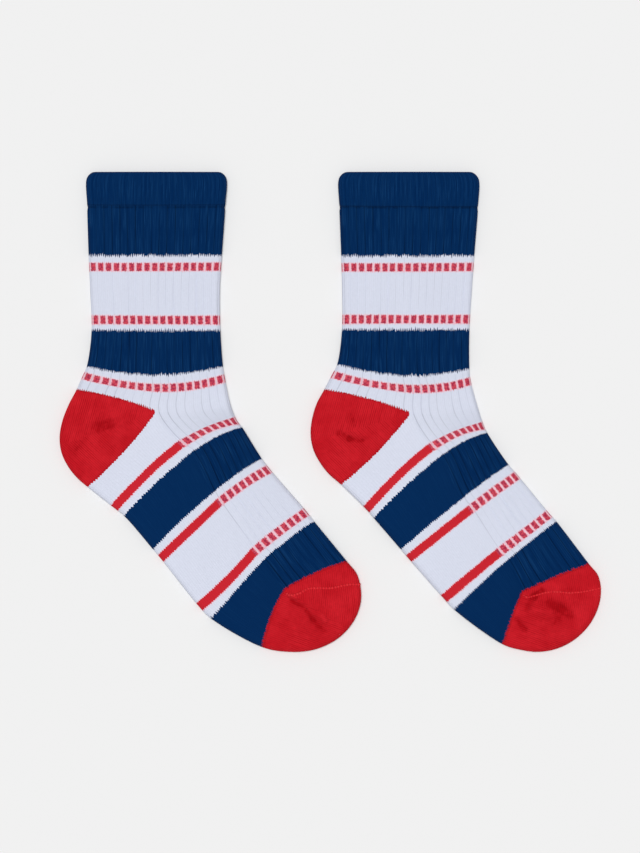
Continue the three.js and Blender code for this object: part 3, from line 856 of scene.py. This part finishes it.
def makeCuffKnit(name):
    material, shader, wale, courses, place, _ = startKnit(name)
    purl = abs(wale % 2 - 1)
    shade = purl.between(0, .7) * .08 + .94
    colour = navyShade(wale, courses)
    return finishKnit(material, shader, colour, stitchHeight(wale, courses), wale, courses, place, shade, .22)


# Red yarn, rubbed lighter in places, with painted shade in the hollows between its wales, stronger in some
# places than in others, painted shade in the creases' troughs and a painted highlight on their ridges.
def redShade(wale, courses, place, creased):
    rubbed = (place.noise(110, 2).between(.3, .7) * .7).mix(yarns["red"], yarns["redLit"])
    hollowShadeAmount = place.noise(75, 2).between(.38, .62) * .65 + .15
    # painted shade between the wales, stronger in some patches
    hollow = abs(wale % 1 - .5).between(.20, .5) * streaks(wale, courses, .6, .06).between(.3, .6) * hollowShadeAmount
    folded = creased * (place.noise(420, 3).between(.3, .7) * .8 + .5)
    # painted shade in the creases' troughs and a painted highlight on their ridges
    sunk = (folded * -1).between(.05, 1.3) * .9
    raised = folded.between(.1, 1.4) * .8
    return raised.mix((hollow + sunk).clamped().mix(rubbed, yarns["redShaded"]), yarns["redLit"])


def makePocketKnit(name):
    material, shader, wale, courses, place, creased = startKnit(name)
    colour = redShade(wale, courses, place, creased)
    return finishKnit(material, shader, colour, stitchHeight(wale, courses), wale, courses, place, 1, .38)


# The tube's bands and stripes, by the course that each edge lies on.
def makeTubeKnit(lie):
    material, shader, wale, courses, place, creased = startKnit(lie["name"] + "_banded_knit")
    pitch, quarter, ribWales = knit["coursePitch"], knit["quarterWales"], knit["ribWales"]

    def courseOf(at, further=0):
        return (lengthAt(lie, lie["rows"][at]) + further) / pitch

    # in wales from the front fold, the foot and its plain sole half
    fromFront = abs(wale - 2 * quarter)
    onFoot = courses > courseOf("heel start")
    plain = onFoot * (fromFront > quarter)
    towardFold = abs(fromFront - quarter) / quarter

    # the ribs' grooves, with painted shade in them
    fromGroove = abs(wale % ribWales - ribWales / 2)
    grooveStrength = streaks(wale, courses, .26, .022).between(.38, .66)
    byPlain = onFoot * fromFront.between(*groovesShadedMore["besidePlain"])
    before, after = (courseOf("leg band end") + away for away in groovesShadedMore["ankle"])
    heelCourse = courseOf("heel start")
    pastHeel = courses.between(heelCourse, heelCourse + groovesShadedMore["ankleFade"])
    ankle = courses.between(before, after) * (1 - pastHeel)
    groove = (1 - fromGroove.between(.05, .42)) * (1 - plain)

    calmer = edges["legTeeth"] - edges["footTeeth"]
    edgeCourse = toothed(wale, courses, edges["legTeeth"] - onFoot * calmer)
    stripeCourse = toothed(wale, courses, edges["stripeTeeth"])

    # How far a course sags between the side line and the fold, where it runs over plain knit.
    def sagAt(at):
        return plain * towardFold * (1 - towardFold) * (4 * lie["sag"].get(at, 0) / pitch)

    navy = 0
    for start, early, end, late in bands:
        begun = edgeCourse - sagAt(start) > courseOf(start, early)
        navy = begun * (edgeCourse < courseOf(end, late)) + navy
    # painted shade in the grooves: stronger beside the plain knit, at the ankle, on navy and in noisy patches
    groove = groove * ((byPlain + ankle) * .25 + navy * .25 + grooveStrength).clamped()

    # How far apart the courses lie at the back and front folds, as a share of that on the side line. A stripe
    # keeps its width though its courses crowd together.
    def crowding(at, foot):
        here = lie["rows"][at]
        near = [spokesAt(lie, here + step, foot) for step in (-.05, .05)]
        onSide = (near[1]["back"]["pole"] - near[0]["back"]["pole"]).length
        return [(near[1][fold]["edge"] - near[0][fold]["edge"]).length / onSide for fold in ("back", "front")]

    stripe, halo = 0, 0
    for at, further, half, foot in stripes["rows"]:
        back, front = crowding(at, foot)
        local = ((fromFront > quarter) * (back - front) + front - 1) * towardFold + 1
        away = abs(stripeCourse - sagAt(at) - courseOf(at, further)) * local * pitch
        stripe = (away < half) + stripe
        halo = (away < half + stripes["halo"]) + halo

    # a stripe is a row of dashes over the ribs, and whole over plain knit
    reach = fromGroove + (streaks(wale, courses, 1.5, .8) - .5) * 1.3
    dash = reach.between(.50, .90)
    mottled = streaks(wale, courses, .8, .9).between(.42, .58).mix(yarns["dashDeep"], yarns["dashRed"])
    between = fromGroove.between(.1, .5).mix(yarns["palePink"], yarns["pink"])
    striped = plain.mix(dash.mix(between, mottled), yarns["stripeRed"])
    tinted = (halo * stripes["haloStrength"]).mix(yarns["white"], yarns["pink"])
    colour = stripe.mix(tinted, striped)
    colour = navy.mix(colour, navyShade(wale, courses, plain))

    # red yarn runs on for a course beside the pockets
    byHeel = (abs(edgeCourse - heelCourse) < 1) * (fromFront > quarter)
    byToe = edgeCourse > courseOf("toe start") - 1
    colour = (byHeel + byToe).clamped().mix(colour, redShade(wale, courses, place, creased))

    # the join of the cuff lies in shade
    fromSeam = abs(courses - courseOf("cuff seam", lie["seamDrop"]))
    seam = (1 - fromSeam.between(.2, 1.1)) * streaks(wale, courses, .3, .1).between(.25, .6)
    # painted shade: darker in the grooves and at the cuff's join
    shade = (1 - groove * (navy * .36 + (byPlain + ankle) * .10 + .09)) * (1 - seam * .3)
    return finishKnit(material, shader, colour, stitchHeight(wale, courses), wale, courses, place, shade, .10)


# The camera looks straight down on the pair.
view = dict(centre=(-.0050, -.00725), height=.4265, lens=100, sensor=36, clothTop=.005)
cameraData = bpy.data.cameras.new("camera")
cameraData.lens = view["lens"]
cameraData.sensor_width = view["sensor"]
camera = bpy.data.objects.new("camera", cameraData)
camera.location = view["centre"] + (view["clothTop"] + view["height"] * view["lens"] / view["sensor"],)
bpy.context.collection.objects.link(camera)
bpy.context.scene.camera = camera

pocketKnit = makePocketKnit("red_plain_knit")
seamKnit = makeSeamKnit("red_seam_yarn")
cuffKnit = makeCuffKnit("navy_cuff_knit")
for sock in (leftSock, rightSock):
    lie = layOut(sock)
    cuffCloth = makeCuff(lie, cuffKnit)
    tubeCloth = makeTube(lie, makeTubeKnit(lie))
    heelCloth = makeHeel(lie, pocketKnit)
    toeCloth = makeToe(lie, pocketKnit)
    makeToeSeam(lie, toeCloth, seamKnit)
    for cloth, cut in ((cuffCloth, "cuff"), (tubeCloth, "tube"), (heelCloth, "heel"), (toeCloth, "toe")):
        print(cloth.name, "area laid", round(sum(face.area for face in cloth.data.polygons) / 2, 5))

print("floor and light")
studio = dict(floorSize=3, floorDrop=.0001, floorTone=.82, worldTone=.32, sunPower=2.37, sunAngle=.42,
              sunFrom=(-.05, .08, 1))
bm = bmesh.new()
bmesh.ops.create_grid(bm, x_segments=1, y_segments=1, size=studio["floorSize"] / 2)
bmesh.ops.translate(bm, verts=bm.verts, vec=(0, 0, -studio["floorDrop"]))
floorMesh = bpy.data.meshes.new("floor")
bm.to_mesh(floorMesh)
bm.free()
floorPaint = bpy.data.materials.new("floor_paint")
floorPaint.use_nodes = True
floorShader = floorPaint.node_tree.nodes["Principled BSDF"]
floorShader.inputs["Base Color"].default_value = (studio["floorTone"],) * 3 + (1,)
floorShader.inputs["Roughness"].default_value = 1
floorShader.inputs["Specular IOR Level"].default_value = 0
floorMesh.materials.append(floorPaint)
floor = bpy.data.objects.new("floor", floorMesh)
bpy.context.collection.objects.link(floor)
sunData = bpy.data.lights.new("sun", "SUN")
sunData.energy = studio["sunPower"]
sunData.angle = studio["sunAngle"]
sun = bpy.data.objects.new("sun", sunData)
sun.rotation_euler = (-Vector(studio["sunFrom"])).to_track_quat("-Z", "Y").to_euler()
bpy.context.collection.objects.link(sun)
world = bpy.data.worlds.new("studio")
bpy.context.scene.world = world
world.use_nodes = True
world.node_tree.nodes["Background"].inputs["Color"].default_value = (1, 1, 1, 1)
world.node_tree.nodes["Background"].inputs["Strength"].default_value = studio["worldTone"]
bpy.context.scene.view_settings.view_transform = "Standard"
